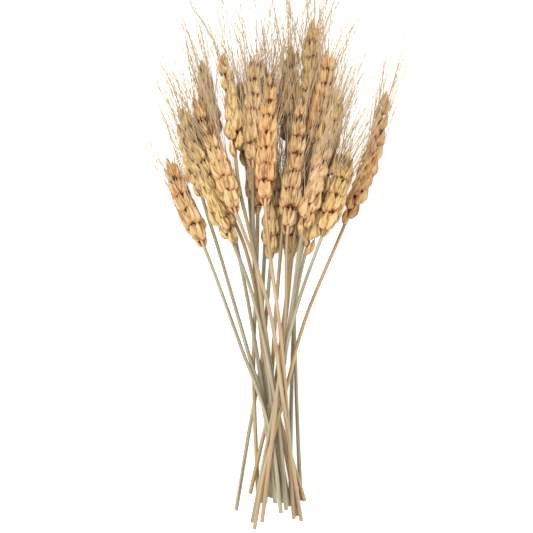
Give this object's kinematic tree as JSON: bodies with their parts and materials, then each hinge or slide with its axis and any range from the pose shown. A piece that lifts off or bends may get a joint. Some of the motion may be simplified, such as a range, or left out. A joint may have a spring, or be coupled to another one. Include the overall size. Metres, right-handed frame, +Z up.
{
  "type": "bundle of dried wheat",
  "caption": "Loose bundle of dried bearded wheat stalks lying flat, ears with long awns fanned at one end and cut stems crossing at the other.",
  "frame": {"origin": "middle of the outline in plan, on the surface that the bundle lies on", "axes": "+X across the bundle, +Y from the cut ends towards the ears, +Z up from the surface"},
  "size_m": [0.2212, 0.4376, 0.0553],
  "materials": {
    "ear_golden": "dry golden straw husks, matte with a slight satin on the glumes, reddish brown at their bases",
    "ear_orange": "dry orange-tan husks, matte to satin, reddish brown at their bases",
    "ear_olive": "dry yellow-olive husks, matte",
    "ear_brown": "dry weathered grey-brown husks, matte",
    "straw_tan": "dry straw, light tan, satin, fine lengthwise ribs",
    "straw_orange": "dry straw, orange-tan, satin, fine lengthwise ribs",
    "straw_green": "dry straw, grey-green, satin, fine lengthwise ribs",
    "straw_grey": "dry straw, grey-beige, satin, fine lengthwise ribs"
  },
  "bodies": {
    "root": {"stem_01": "straw_grey", "ear_01": "ear_brown", "stem_02": "straw_green", "ear_02": "ear_brown", "stem_03": "straw_grey", "ear_03": "ear_brown", "stem_04": "straw_grey", "ear_04": "ear_brown", "stem_05": "straw_green", "ear_05": "ear_brown", "stem_06": "straw_tan", "ear_06": "ear_golden", "stem_07": "straw_grey", "ear_07": "ear_brown", "stem_08": "straw_orange", "ear_08": "ear_olive", "stem_09": "straw_tan", "ear_09": "ear_brown", "stem_10": "straw_grey", "ear_10": "ear_orange", "stem_11": "straw_green", "ear_11": "ear_olive", "stem_12": "straw_green", "ear_12": "ear_brown", "stem_13": "straw_orange", "ear_13": "ear_golden", "stem_14": "straw_green", "ear_14": "ear_olive", "stem_15": "straw_grey", "ear_15": "ear_golden", "stem_16": "straw_tan", "ear_16": "ear_olive", "stem_17": "straw_grey", "ear_17": "ear_golden", "stem_18": "straw_green", "ear_18": "ear_olive", "stem_19": "straw_green", "ear_19": "ear_golden", "stem_20": "straw_green", "ear_20": "ear_olive", "stem_21": "straw_orange", "ear_21": "ear_orange", "stem_22": "straw_tan", "ear_22": "ear_golden", "stem_23": "straw_orange", "ear_23": "ear_orange", "stem_24": "straw_tan", "ear_24": "ear_golden"}
  },
  "joints": []
}
